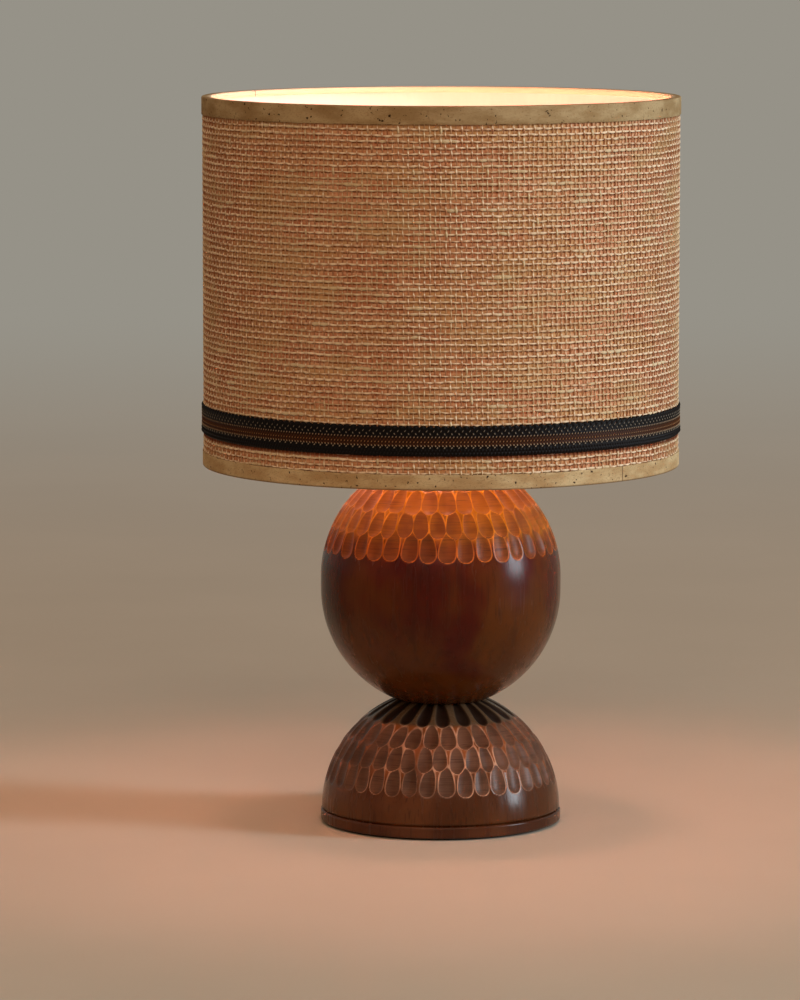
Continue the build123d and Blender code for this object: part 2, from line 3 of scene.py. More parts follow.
import bpy
import numpy as np
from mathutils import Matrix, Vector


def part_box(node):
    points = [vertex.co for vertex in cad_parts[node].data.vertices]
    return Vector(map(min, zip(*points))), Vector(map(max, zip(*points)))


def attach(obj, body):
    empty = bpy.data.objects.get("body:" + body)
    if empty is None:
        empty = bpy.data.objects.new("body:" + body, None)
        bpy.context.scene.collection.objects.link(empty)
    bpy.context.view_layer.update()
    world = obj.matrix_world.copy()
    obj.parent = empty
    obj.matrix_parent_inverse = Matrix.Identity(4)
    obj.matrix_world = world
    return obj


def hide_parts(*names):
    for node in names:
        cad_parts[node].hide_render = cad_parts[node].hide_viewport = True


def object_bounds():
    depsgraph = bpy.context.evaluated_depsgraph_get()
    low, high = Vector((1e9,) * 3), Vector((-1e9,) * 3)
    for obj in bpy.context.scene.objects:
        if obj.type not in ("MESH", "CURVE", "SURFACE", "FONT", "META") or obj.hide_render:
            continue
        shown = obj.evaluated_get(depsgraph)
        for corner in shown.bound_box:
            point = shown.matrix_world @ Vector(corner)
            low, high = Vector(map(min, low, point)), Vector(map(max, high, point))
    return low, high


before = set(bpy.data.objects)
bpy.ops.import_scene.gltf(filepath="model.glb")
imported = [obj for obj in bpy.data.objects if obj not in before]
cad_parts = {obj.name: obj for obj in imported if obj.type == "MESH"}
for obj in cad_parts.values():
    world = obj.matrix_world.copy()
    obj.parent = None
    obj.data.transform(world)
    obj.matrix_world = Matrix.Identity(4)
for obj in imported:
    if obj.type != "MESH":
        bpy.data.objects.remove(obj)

cad_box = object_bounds()

# Camera: it stands over three metres in front of the lamp, a little above the shade and to the left, and
# looks slightly down. Distances are in metres, and the focal length is in pixels of the frame.
camera_distance = 3.304
camera_height = 0.601
camera_side = -0.0259
camera_pitch = math.radians(6.822)
focal_pixels = 5240.5
frame_pixels = 1000.0

camera = bpy.data.objects.new("camera", bpy.data.cameras.new("camera"))
camera.data.sensor_width = 36.0
camera.data.lens = camera.data.sensor_width * focal_pixels / frame_pixels
camera.data.clip_end = 100.0
camera.location = (camera_side, -camera_distance, camera_height)
camera.rotation_euler = (math.pi / 2 - camera_pitch, 0.0, 0.0)
bpy.context.scene.collection.objects.link(camera)
bpy.context.scene.camera = camera
bpy.context.scene.view_settings.view_transform = "Standard"


# Floor and light: a plain pale floor without end that fades into a plain backdrop, which mirrors and glass
# show too. A panel like a window lights from the right and a broad warm one from above the front. The sky is
# faint and warm.
def linear(red, green, blue):
    """Scene colour of a display colour written from 0 to 255 a channel."""
    shares = np.array([red, green, blue]) / 255
    return (*np.where(shares < 0.04045, shares / 12.92, ((shares + 0.055) / 1.055) ** 2.4), 1.0)


def grid_piece(name, points, wrap_rows=False, wrap_columns=True, values=None):
    """Mesh of quads on points[..., row, column, xyz], each leading index a grid of its own.

    A wrapped direction joins its last line to its first. Faces look along column direction x row direction.
    values holds one number per point for each named attribute.
    """
    rows, columns = points.shape[-3:-1]
    index = np.arange(points.size // 3).reshape(-1, rows, columns)
    if wrap_columns:
        index = np.concatenate([index, index[:, :, :1]], axis=2)
    if wrap_rows:
        index = np.concatenate([index, index[:, :1]], axis=1)
    corners = [index[:, :-1, :-1], index[:, :-1, 1:], index[:, 1:, 1:], index[:, 1:, :-1]]
    quads = np.stack(corners, axis=-1).reshape(-1, 4)
    mesh = bpy.data.meshes.new(name)
    mesh.from_pydata(points.reshape(-1, 3), [], quads)
    for key, value in (values or {}).items():
        attribute = mesh.attributes.new(key, "FLOAT", "POINT")
        point_values = np.broadcast_to(value, points.shape[:-1]).astype(np.float32)
        attribute.data.foreach_set("value", point_values.ravel())
    mesh.shade_smooth()
    piece = bpy.data.objects.new(name, mesh)
    bpy.context.scene.collection.objects.link(piece)
    return piece


def add(tree, kind, inputs=None, **settings):
    """Adds a node of that kind: settings are its properties, inputs its sockets by name or number."""
    node = tree.nodes.new(kind)
    for key, value in settings.items():
        setattr(node, key, value)
    for key, value in (inputs or {}).items():
        if isinstance(value, bpy.types.NodeSocket):
            tree.links.new(value, node.inputs[key])
        else:
            node.inputs[key].default_value = value
    return node


def new_finish(name, **sockets):
    """Material with one shader whose sockets are set by name; gives the material, its tree and its shader."""
    material = bpy.data.materials.new(name)
    material.use_nodes = True
    shader = material.node_tree.nodes["Principled BSDF"]
    for key, value in sockets.items():
        shader.inputs[key.replace("_", " ")].default_value = value
    return material, material.node_tree, shader


def object_place(tree):
    """Place on a piece, in Object coordinates."""
    return add(tree, "ShaderNodeTexCoord").outputs["Object"]


def noise(tree, place, scale, stretch=(1, 1, 1), detail=4.0, roughness=0.55):
    """Noise of so many waves a metre at a place, stretched by the three factors; gives its value socket."""
    mapping = add(tree, "ShaderNodeMapping", {"Vector": place, "Scale": stretch})
    inputs = {"Vector": mapping.outputs[0], "Scale": scale, "Detail": detail, "Roughness": roughness}
    return add(tree, "ShaderNodeTexNoise", inputs).outputs["Fac"]


def spread(tree, value, low, high, to_low=0.0, to_high=1.0):
    """Maps a value smoothly from the first pair of numbers to the second."""
    inputs = {"Value": value, "From Min": low, "From Max": high, "To Min": to_low, "To Max": to_high}
    return add(tree, "ShaderNodeMapRange", inputs, interpolation_type="SMOOTHSTEP").outputs["Result"]


def blend_colors(tree, share, first, second, mode="MIX"):
    """Mixes two colours by a share; the mode MULTIPLY mixes in their product instead of the second."""
    node = add(tree, "ShaderNodeMix", data_type="RGBA", blend_type=mode)
    for socket, value in ((0, share), (6, first), (7, second)):
        if isinstance(value, bpy.types.NodeSocket):
            tree.links.new(value, node.inputs[socket])
        else:
            node.inputs[socket].default_value = value
    return node.outputs[2]


def combine(tree, how, first, second):
    """Sum, product, difference or the like of two values."""
    return add(tree, "ShaderNodeMath", {0: first, 1: second}, operation=how).outputs[0]


def background_rays(tree):
    """1 where the camera, a mirror or glass shows the backdrop, and 0 where it only lights the object."""
    rays = add(tree, "ShaderNodeLightPath").outputs
    mirrored = combine(tree, "MAXIMUM", rays["Is Glossy Ray"], rays["Is Transmission Ray"])
    return combine(tree, "MAXIMUM", rays["Is Camera Ray"], mirrored)


backdrop = linear(150, 146, 136)
floor_reach = 60.0
fade_start = 0.1
fade_end = 4.0
sky_color = (1.0, 0.63, 0.37, 1.0)
sky_strength = 0.3
floor_line = np.linspace(-floor_reach, floor_reach, 3)
floor_x, floor_y = np.meshgrid(floor_line, floor_line)
floor = grid_piece("floor", np.stack([floor_x, floor_y, 0 * floor_x], axis=-1), wrap_columns=False)
floor_finish, floor_tree, floor_shader = new_finish("floor", Roughness=0.75, Specular_IOR_Level=0.15)
floor_place = object_place(floor_tree)
floor_tone = spread(floor_tree, noise(floor_tree, floor_place, 2.0), 0.3, 0.7)
floor_color = blend_colors(floor_tree, floor_tone, linear(199, 192, 177), linear(205, 198, 183))
floor_tree.links.new(floor_color, floor_shader.inputs["Base Color"])
floor_depth = add(floor_tree, "ShaderNodeSeparateXYZ", {0: floor_place}).outputs["Y"]
floor_sweep = add(floor_tree, "ShaderNodeEmission", {"Color": backdrop})
floor_fade = spread(floor_tree, floor_depth, fade_start, fade_end)
floor_share = combine(floor_tree, "MULTIPLY", floor_fade, background_rays(floor_tree))
floor_parts = {0: floor_share, 1: floor_shader.outputs[0], 2: floor_sweep.outputs[0]}
floor_mix = add(floor_tree, "ShaderNodeMixShader", floor_parts)
floor_tree.links.new(floor_mix.outputs[0], floor_tree.nodes["Material Output"].inputs["Surface"])
floor.data.materials.append(floor_finish)


def soft_light(name, level, width, height, bearing, elevation, color):
    """Panel five metres away that gives that level of light at the middle of the lamp.

    It is so many degrees wide and high, at a bearing to the right of the front and an elevation in degrees.
    """
    away = 5.0
    turn, tip = math.radians(bearing), math.radians(elevation)
    light = bpy.data.objects.new(name, bpy.data.lights.new(name, "AREA"))
    light.data.shape = "RECTANGLE"
    light.data.size = 2 * away * math.tan(math.radians(width / 2))
    light.data.size_y = 2 * away * math.tan(math.radians(height / 2))
    light.data.energy = level * math.pi * away**2
    light.data.color = color
    toward = np.array([math.sin(turn) * math.cos(tip), -math.cos(turn) * math.cos(tip), math.sin(tip)])
    light.location = away * toward + [0, 0, (cad_box[0][2] + cad_box[1][2]) / 2]
    light.rotation_euler = (math.pi / 2 - tip, 0.0, turn)
    bpy.context.scene.collection.objects.link(light)


soft_light("window_light", 2.2, 11, 24, 77, 14, (0.82, 0.94, 1.03))
soft_light("room_light", 0.92, 50, 30, 3, 36, (1.0, 0.72, 0.54))

world = bpy.data.worlds.new("sky")
world.use_nodes = True
sky = world.node_tree
sky_light = sky.nodes["Background"]
sky_light.inputs["Color"].default_value = sky_color
sky_light.inputs["Strength"].default_value = sky_strength
sky_shown = add(sky, "ShaderNodeBackground", {"Color": backdrop, "Strength": 1.0})
sky_parts = {0: background_rays(sky), 1: sky_light.outputs[0], 2: sky_shown.outputs[0]}
sky_mix = add(sky, "ShaderNodeMixShader", sky_parts)
sky.links.new(sky_mix.outputs[0], sky.nodes["World Output"].inputs["Surface"])
bpy.context.scene.world = world


# Dome and ball: turned from one dark hardwood, then cut by hand with a gouge in rings of spoon-shaped facets.
# The stain is rubbed through on the ridges, the facets show lines across the grain, and the rest is polished.
mm = 0.001
dome_radius = 75.8 * mm
dome_foot = 8.6 * mm
dome_groove_height = 0.9 * mm
dome_groove_depth = 1.1 * mm
joint_radius = 28.5 * mm
joint_height = dome_foot + math.sqrt(dome_radius**2 - joint_radius**2)
ball_radius = 76.2 * mm
ball_band = 8.2 * mm
ball_top_radius = 24.0 * mm
ball_low = joint_height + math.sqrt(ball_radius**2 - joint_radius**2)
ball_high = ball_low + ball_band
ball_top = ball_high + math.sqrt(ball_radius**2 - ball_top_radius**2)
wood_bore = 5.4 * mm
dish_edge = 0.8 * mm
gouge_depth = 1.35 * mm
flutes_start = 50.0
carving = np.random.default_rng(11)
# Painted glow of the bulb's light: what the stain above the ball's first row of cuts is multiplied by, low
# and at the top.
lamp_glow_facet = ((1.34, 2.0, 0.08, 1.0), (1.2, 1.68, 0.08, 1.0))
lamp_glow_ridge = ((0.84, 1.36, 0.08, 1.0), (0.86, 1.3, 0.08, 1.0))


def round_points(radius, angle, height):
    """Points (radius cos angle, radius sin angle, height) round the lamp's axis."""
    return np.stack(np.broadcast_arrays(radius * np.cos(angle), radius * np.sin(angle), height), axis=-1)


def cut_field(around, latitude, radius, rings):
    """Depth of the gouge cuts, and how far each point is from a cut's edge.

    Each ring is (latitude of its foot in degrees, count, cut width, length below and above the deepest point,
    turn in cuts, depth). A cut is 1 - (across / half width)^2 - far, where far is (along / below)^2.5 towards
    the foot and (along / above)^1.8 towards the top, tilted and shifted a little. Where cuts overlap
    the deeper one wins, and the ridge between them is where the two deepest are equal. Above flutes_start the
    cuts narrow towards the pole, as the ring does.
    """
    deepest = np.full((latitude.size, around.size), -4.0)
    second = deepest.copy()
    for foot, count, width, below, above, turn, depth in rings:
        shift = carving.normal(0, [[0.035], [0.4]], (2, count))
        shape = 1 + carving.normal(0, [[0.04], [0.045], [0.09]], (3, count))
        tilt = carving.normal(0, 0.05, count)
        nearest = np.round(around / (2 * math.pi) * count - turn).astype(int)
        slender = np.ones(latitude.size)
        if foot > flutes_start:
            slender = np.cos(latitude) / math.cos(math.radians(foot))
        for step in (-1, 0, 1):
            cut = (nearest + step) % count
            middle = (nearest + step + turn + shift[0, cut]) * 2 * math.pi / count
            across = (around - middle)[None, :] * radius * np.cos(latitude)[:, None]
            along = (latitude[:, None] - math.radians(foot)) * radius - below - shift[1, cut][None, :] * mm
            across, along = across + tilt[cut] * along, along - tilt[cut] * across
            to_foot, to_top = np.abs(along / below) ** 2.5, np.abs(along / (above * shape[1, cut])) ** 1.8
            far = np.where(along < 0, to_foot, to_top)
            half = width / 2 * shape[0, cut] * slender[:, None]
            field = (1 - (across / half) ** 2 - far) * shape[2, cut] * depth / gouge_depth
            second = np.maximum(second, np.minimum(deepest, field))
            deepest = np.maximum(deepest, field)
    edge = np.where(deepest > 0, deepest - np.maximum(second, 0), -deepest)
    return gouge_depth * np.maximum(deepest, 0), np.clip(deepest, -1, 1), np.clip(edge, 0, 1)


def carved_piece(name, profile, columns, radius, centre, rings, dish=None):
    """Turned piece with cuts: profile rows are (radius, height), wrapped through the bore into a closed skin.

    The cuts go in along the radius of a ball of that radius and centre, on the rows above the centre. A dish
    is (height, y of its floor, radius): a flat seat sunk into the rear, with a rounded edge dish_edge wide.
    Its ridges are rubbed most at front and rear, as -cos(2 x angle).
    """
    around = np.arange(columns) * 2 * math.pi / columns - math.pi / 2
    profile = np.array(profile)
    latitude = np.arctan2(profile[:, 1] - centre, profile[:, 0])
    on_ball = np.abs(np.hypot(profile[:, 0], profile[:, 1] - centre) - radius) < 0.05 * mm
    on_ball &= latitude > 0
    depth, cut, edge = cut_field(around, latitude, radius, rings)
    depth = depth * on_ball[:, None]
    cut = np.where(on_ball[:, None], cut, -1)
    edge = np.where(on_ball[:, None], edge, 1)
    flat = profile[:, :1] - depth * np.cos(latitude)[:, None]
    height = profile[:, 1:] - depth * np.sin(latitude)[:, None]
    points = round_points(flat, around, height)
    if dish is not None:
        dish_height, dish_floor, dish_radius = dish
        off = np.hypot(points[..., 0], points[..., 2] - dish_height)
        share = 1 - np.clip((off - dish_radius) / dish_edge, 0, 1) ** 2
        outside = (points[..., 1] > dish_floor) & (np.arange(len(profile))[:, None] < len(profile) - 1)
        points[..., 1] -= np.where(outside, (points[..., 1] - dish_floor) * share, 0)
    foot, below = rings[0][0], rings[0][3]
    band = np.clip((latitude - math.radians(foot) - 1.5 * below / radius) / 0.08, 0, 1) * on_ball
    values = {"cut": cut, "edge": edge, "carved": band[:, None], "polar": latitude[:, None]}
    values["rubbed"] = -np.cos(2 * around)
    return grid_piece(name, points, wrap_rows=True, values=values)


def surface_value(tree, name):
    """Value of a piece's named attribute."""
    return add(tree, "ShaderNodeAttribute", attribute_name=name).outputs["Fac"]


def bump(tree, shader, height, depth):
    """Gives the shader a relief so many metres deep."""
    node = add(tree, "ShaderNodeBump", {"Height": height, "Distance": depth})
    tree.links.new(node.outputs[0], shader.inputs["Normal"])


def wood_finish(name, dark, light, deep, carving_colors=None, worn=1.0, lamp_glow_top=0.0, flutes=False):
    """Dark polished hardwood, clouded and streaked down the grain from a dark to a light and a deep stain.

    carving_colors are three pairs, dark and light: the lined facets, the lands between the rows, and the
    ridges where the stain is rubbed through, at least to the share worn. Towards the top the carving turns
    amber by the share given for it, a painted glow of the bulb's light. Flutes near the top stay dark, with
    their stain and painted shade under the ball.
    """
    material, tree, shader = new_finish(name, Specular_IOR_Level=0.2)
    place = object_place(tree)
    streak = noise(tree, place, 1.0, (150, 150, 9), 4.0, 0.55)
    pore = noise(tree, place, 1.0, (900, 900, 45), 3.0, 0.5)
    cloud = noise(tree, place, 12.0, (1, 1, 0.8), 2.0)
    red_cloud = noise(tree, place, 21.0, (1, 1, 0.6), 3.0)
    polar = surface_value(tree, "polar")
    redness = combine(tree, "ADD", red_cloud, combine(tree, "MULTIPLY", polar, 0.16))
    body = blend_colors(tree, spread(tree, redness, 0.38, 0.58), light, dark)
    body = blend_colors(tree, spread(tree, cloud, 0.44, 0.62, 0.0, 0.65), body, deep)
    body = blend_colors(tree, spread(tree, streak, 0.5, 0.75, 0.0, 0.5), body, deep)
    body = blend_colors(tree, spread(tree, pore, 0.56, 0.7, 0.0, 0.4), body, linear(26, 9, 3))
    rough = spread(tree, streak, 0.3, 0.7, 0.16, 0.31)
    relief = combine(tree, "MULTIPLY", combine(tree, "ADD", streak, pore), 0.3)
    if carving_colors:
        facet_colors, land_colors, ridge_colors = carving_colors
        cut = surface_value(tree, "cut")
        edge = surface_value(tree, "edge")
        band = surface_value(tree, "carved")
        lines = noise(tree, place, 1.0, (22, 22, 760), 3.0, 0.6)
        patch = noise(tree, place, 55.0, detail=2.0)
        lined = combine(tree, "MULTIPLY", lines, 0.45)
        tone = combine(tree, "ADD", lined, combine(tree, "MULTIPLY", patch, 0.55))
        facet = blend_colors(tree, spread(tree, tone, 0.38, 0.62), *facet_colors)
        facet = blend_colors(tree, spread(tree, lines, 0.6, 0.66, 0.0, 0.6), facet, linear(48, 22, 8))
        land = blend_colors(tree, spread(tree, patch, 0.35, 0.65), *land_colors)
        ridge = blend_colors(tree, spread(tree, streak, 0.35, 0.65), *ridge_colors)
        # Painted glow of the bulb's light: the carving turns amber upward from the ball's first row.
        if lamp_glow_top:
            high = spread(tree, polar, 0.32, 0.52, 0.0, lamp_glow_top)
            upward = spread(tree, polar, 0.62, 0.85)
            facet = blend_colors(tree, high, facet, blend_colors(tree, upward, *lamp_glow_facet), "MULTIPLY")
            land = blend_colors(tree, high, land, blend_colors(tree, upward, *lamp_glow_ridge), "MULTIPLY")
            ridge = blend_colors(tree, high, ridge, blend_colors(tree, upward, *lamp_glow_ridge), "MULTIPLY")
        body = blend_colors(tree, combine(tree, "MULTIPLY", band, 0.85), body, land)
        body = blend_colors(tree, spread(tree, cut, -0.03, 0.05), body, facet)
        wear = spread(tree, noise(tree, place, 24.0, detail=4.0), 0.38, 0.56, worn, 1.0)
        rubbed = surface_value(tree, "rubbed")
        wear = combine(tree, "MULTIPLY", wear, spread(tree, rubbed, -0.3, 0.5, worn, 1.0))
        rim = combine(tree, "MULTIPLY", spread(tree, edge, 0.05, 0.21, 1.0, 0.0), wear)
        body = blend_colors(tree, rim, body, ridge)
        # Flutes: their stain and painted shade under the ball darken the deep of each flute.
        if flutes:
            flute_stain_and_shade = blend_colors(tree, spread(tree, cut, -0.2, 0.65), linear(84, 68, 50), linear(24, 13, 7))
            body = blend_colors(tree, spread(tree, polar, 0.875, 0.92, 0.0, 0.92), body, flute_stain_and_shade)
        relief = combine(tree, "ADD", relief, combine(tree, "MULTIPLY", lines, spread(tree, cut, 0.0, 0.1)))
        rough = combine(tree, "ADD", rough, combine(tree, "MULTIPLY", spread(tree, cut, 0.0, 0.1), 0.2))
    tree.links.new(body, shader.inputs["Base Color"])
    tree.links.new(rough, shader.inputs["Roughness"])
    bump(tree, shader, relief, 0.12 * mm)
    return material


def arc_rows(radius, centre, start, end, step):
    """Points (radius, height) on a ball's outline between two latitudes in degrees, about step mm apart."""
    count = max(2, round(radius * math.radians(abs(end - start)) / (step * mm)) + 1)
    angles = np.radians(np.linspace(start, end, count))
    return [(radius * math.cos(angle), centre + radius * math.sin(angle)) for angle in angles]


dome_carving = (
    (linear(75, 47, 31), linear(100, 68, 50)),
    (linear(96, 54, 30), linear(142, 82, 46)),
    (linear(140, 94, 66), linear(198, 153, 124)),
)
ball_carving = (
    (linear(78, 38, 5), linear(104, 58, 10)),
    (linear(112, 62, 9), linear(142, 82, 16)),
    (linear(144, 84, 18), linear(182, 110, 32)),
)
dome_wood = wood_finish(
    "dome_wood",
    linear(82, 42, 16),
    linear(98, 58, 30),
    linear(69, 37, 16),
    dome_carving,
    worn=0.25,
    flutes=True,
)
ball_wood = wood_finish(
    "ball_wood",
    linear(64, 11, 1),
    linear(79, 40, 6),
    linear(44, 16, 2),
    ball_carving,
    worn=0.8,
    lamp_glow_top=1.0,
)
dome_joint_latitude = math.degrees(math.acos(joint_radius / dome_radius))
dome_start_latitude = math.degrees(math.asin(dome_groove_height / dome_radius))
dome_skirt = dome_radius - dome_groove_depth
groove_top = dome_foot + dome_groove_height
dome_profile = [
    (wood_bore, dome_foot),
    (dome_skirt - 1 * mm, dome_foot),
    (dome_skirt, dome_foot),
    (dome_skirt, groove_top - 0.1 * mm),
    (dome_skirt + 0.1 * mm, groove_top),
    (dome_radius - 0.4 * mm, groove_top),
    *arc_rows(dome_radius, dome_foot, dome_start_latitude + 0.2, 11.0, 1.4),
    *arc_rows(dome_radius, dome_foot, 11.6, dome_joint_latitude, 0.78),
    (wood_bore, joint_height),
]
dome_rings = (
    (13.9, 39, 10.3 * mm, 6.0 * mm, 14.5 * mm, 0.532, gouge_depth),
    (25.4, 40, 9.9 * mm, 6.0 * mm, 13.5 * mm, 0.956, gouge_depth),
    (37.4, 32, 10.6 * mm, 6.0 * mm, 13.5 * mm, 0.391, gouge_depth),
    (50.4, 22, 10.6 * mm, 9.0 * mm, 26.0 * mm, 0.61, 1.8 * mm),
)
dome_dish = (17.6 * mm, 73.15 * mm, 7.4 * mm)
dome = carved_piece("carved_dome", dome_profile, 720, dome_radius, dome_foot, dome_rings, dome_dish)
dome.data.materials.append(dome_wood)
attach(dome, "base")
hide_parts("base_dome")

ball_joint_latitude = math.degrees(math.acos(joint_radius / ball_radius))
ball_top_latitude = math.degrees(math.acos(ball_top_radius / ball_radius))
ball_profile = [
    (wood_bore, joint_height),
    (joint_radius - 0.8 * mm, joint_height),
    *arc_rows(ball_radius, ball_low, -ball_joint_latitude, 0.0, 3.2),
    *arc_rows(ball_radius, ball_high, 0.0, 11.0, 2.0),
    *arc_rows(ball_radius, ball_high, 11.7, ball_top_latitude, 0.8),
    (wood_bore, ball_top),
]
ball_rings = (
    (12.8, 38, 10.4 * mm, 6.0 * mm, 15.0 * mm, 0.774, gouge_depth),
    (24.1, 40, 9.9 * mm, 6.0 * mm, 14.5 * mm, 0.744, gouge_depth),
    (36.8, 33, 11.0 * mm, 6.0 * mm, 15.5 * mm, 0.089, gouge_depth),
    (50.0, 27, 10.6 * mm, 6.0 * mm, 12.0 * mm, 0.5, gouge_depth),
    (60.3, 19, 10.6 * mm, 6.0 * mm, 9.0 * mm, 0.2, gouge_depth),
)
ball = carved_piece("carved_ball", ball_profile, 690, ball_radius, ball_high, ball_rings)
ball.data.materials.append(ball_wood)
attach(ball, "base")
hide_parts("ball_body")


# Foot disc, felt and the fixings below: a turned disc of the same wood, screwed up into the dome, with a felt
# disc glued under it. A nut and a washer on a threaded steel pipe clamp dome and ball together.
def dress(node, material):
    """Gives a CAD piece its finish."""
    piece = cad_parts[node]
    piece.data.materials.clear()
    piece.data.materials.append(material)


foot_wood = wood_finish("foot_wood", linear(74, 38, 20), linear(92, 53, 31), linear(58, 28, 14))
dress("foot_disc", foot_wood)

felt_finish, felt_tree, felt_shader = new_finish(
    "felt", Roughness=0.95, Specular_IOR_Level=0.1, Sheen_Weight=0.3
)
felt_place = object_place(felt_tree)
felt_hair = noise(felt_tree, felt_place, 900.0, detail=6.0, roughness=0.7)
felt_tone = spread(felt_tree, felt_hair, 0.35, 0.65)
felt_color = blend_colors(felt_tree, felt_tone, linear(22, 20, 19), linear(58, 53, 48))
felt_tree.links.new(felt_color, felt_shader.inputs["Base Color"])
bump(felt_tree, felt_shader, felt_hair, 0.3 * mm)
dress("felt_pad", felt_finish)


def metal_finish(name, color, worn, roughness, scratch=(1, 1, 1)):
    """Metal with faint clouds of wear and fine scratches stretched along a direction."""
    material, tree, shader = new_finish(name, Metallic=1.0)
    place = object_place(tree)
    cloud = noise(tree, place, 60.0, detail=5.0, roughness=0.65)
    line = noise(tree, place, 700.0, scratch, 3.0)
    tone = blend_colors(tree, spread(tree, cloud, 0.4, 0.7), color, worn)
    tree.links.new(tone, shader.inputs["Base Color"])
    rough = spread(tree, cloud, 0.3, 0.7, roughness, roughness + 0.12)
    tree.links.new(rough, shader.inputs["Roughness"])
    bump(tree, shader, line, 0.02 * mm)
    return material


steel = metal_finish("zinc_steel", linear(168, 168, 164), linear(138, 138, 132), 0.34, (0.2, 0.2, 3))
for node in ("foot_screws", "base_washer", "base_nut", "threaded_pipe", "terminal_screws", "switch_shaft"):
    dress(node, steel)


# Cord bushing: a black bush of moulded nylon, pressed into its seat low on the rear of the dome, where the
# lead leaves the lamp.
def mottled_finish(name, dark, light, scale, stretch=(1, 1, 1), detail=4.0, rough=None, relief=0, **sockets):
    """Material that a noise of that scale clouds from one colour to another.

    rough is the roughness at the two colours, and relief the depth in metres that the same noise has.
    """
    material, tree, shader = new_finish(name, **sockets)
    cloud = noise(tree, object_place(tree), scale, stretch, detail)
    tree.links.new(blend_colors(tree, cloud, dark, light), shader.inputs["Base Color"])
    if rough:
        tree.links.new(spread(tree, cloud, 0.3, 0.7, *rough), shader.inputs["Roughness"])
    if relief:
        bump(tree, shader, cloud, relief)
    return material


nylon_finish = mottled_finish(
    "black_nylon",
    linear(24, 23, 22),
    linear(38, 37, 35),
    2400.0,
    detail=2.0,
    rough=(0.42, 0.6),
    relief=0.04 * mm,
    Specular_IOR_Level=0.4,
)
dress("cord_bushing", nylon_finish)


# Lamp holder: a spun brass cap and a threaded brass sleeve round a porcelain cup with the screw shell and its
# contact. Two brass rings on the sleeve's thread clamp the shade, and a brass disc covers the ball's bore.
brass = metal_finish("brass", linear(190, 150, 84), linear(150, 112, 58), 0.28, (3, 3, 0.3))
brass_nodes = (
    "ball_cap", "holder_cap", "screw_shell", "centre_contact", "shade_ring_lower", "shade_ring_upper"
)
for node in brass_nodes:
    dress(node, brass)

porcelain = mottled_finish(
    "porcelain",
    linear(232, 228, 214),
    linear(243, 240, 230),
    90.0,
    rough=(0.18, 0.3),
    Coat_Weight=0.6,
    Coat_Roughness=0.06,
)
for node in ("holder_core", "switch_rotor"):
    dress(node, porcelain)


def screw_wave(around, height, pitch):
    """Round thread: 0 in the groove and 1 on the crest, rising by one pitch a turn."""
    return 0.5 + 0.5 * np.cos(2 * math.pi * (height / pitch - around / (2 * math.pi)))


holder_foot, holder_top = (float(corner[2]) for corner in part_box("holder_shell"))
holder_radius = 19.5 * mm
holder_wall = 1.3 * mm
holder_lip = 15.0 * mm
holder_pitch = 2.5 * mm
holder_groove = 0.55 * mm
holder_edge = 0.4 * mm
lip_thickness = 1.0 * mm
thread_start = holder_foot + 12.5 * mm
sleeve_columns = 96
sleeve_around = np.arange(sleeve_columns) * 2 * math.pi / sleeve_columns
plain_rows = np.linspace(holder_foot, thread_start, 4)
thread_rows = np.arange(thread_start, holder_top - holder_edge, holder_pitch / 8)[1:]
outer_rows = np.concatenate([plain_rows, thread_rows, [holder_top]])
groove = 1 - screw_wave(sleeve_around[None, :], outer_rows[:, None], holder_pitch)
threaded = np.clip((outer_rows - thread_start) / holder_pitch, 0, 1)
threaded *= outer_rows < holder_top - holder_edge / 2
outer_skin = holder_radius - holder_groove * groove * threaded[:, None]
inner_radii = np.array([holder_lip, holder_lip, holder_radius - holder_wall, holder_radius - holder_wall])
inner_skin = np.repeat(inner_radii[:, None], sleeve_columns, axis=1)
inner_rows = [holder_top, holder_top - lip_thickness, holder_top - lip_thickness, holder_foot]
sleeve_radius = np.concatenate([outer_skin, inner_skin])
sleeve_height = np.concatenate([outer_rows, inner_rows])[:, None]
sleeve_points = round_points(sleeve_radius, sleeve_around, sleeve_height)
sleeve = grid_piece("holder_sleeve", sleeve_points, wrap_rows=True)
sleeve.data.materials.append(brass)
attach(sleeve, "base")
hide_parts("holder_shell")


# Switch key: a cast brass thumb key on the steel shaft of the rotary switch. It stands out of the holder's
# side, inside the shade.
dress("switch_key", brass)


# Shade frame: a flat ring between the holder's clamp rings, three bent wires and two wire rings, all of steel
# and white enamelled.
enamel = mottled_finish(
    "frame_wire",
    linear(226, 221, 208),
    linear(238, 234, 224),
    500.0,
    detail=2.0,
    rough=(0.3, 0.42),
    relief=0.05 * mm,
    Coat_Weight=0.5,
    Coat_Roughness=0.15,
)
for node in ("shade_fitter", "shade_arms", "shade_bottom_ring", "shade_top_ring"):
    dress(node, enamel)


# Liner: stiff cream laminate bent into a drum, with its edges glued to the frame's wire rings. It carries the
# cloth and throws the light up and down.
liner_finish = mottled_finish(
    "shade_liner",
    linear(234, 216, 208),
    linear(240, 224, 218),
    300.0,
    stretch=(1, 1, 0.2),
    relief=0.05 * mm,
    Roughness=0.7,
    Specular_IOR_Level=0.2,
)
dress("shade_liner", liner_finish)


# Cloth: a rust-brown ground cloth glued to the liner, and over it an open plain weave of slubbed jute. Every
# warp and weft is a yarn of its own that goes over one neighbour and under the next.
shade_radius = 150.0 * mm
cloth_foot, cloth_top = (float(corner[2]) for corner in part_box("shade_fabric"))
cloth_height = cloth_top - cloth_foot
cloth_girth = 2 * math.pi * shade_radius
ground_inner = 149.2 * mm
ground_outer = 149.3 * mm
yarn_circle = 149.88 * mm
yarn_swing = 0.28 * mm
warp_count = 294
weft_count = 62
loom = np.random.default_rng(23)
braid_foot, braid_top = (float(corner[2]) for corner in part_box("braid_band"))
braid_width = braid_top - braid_foot


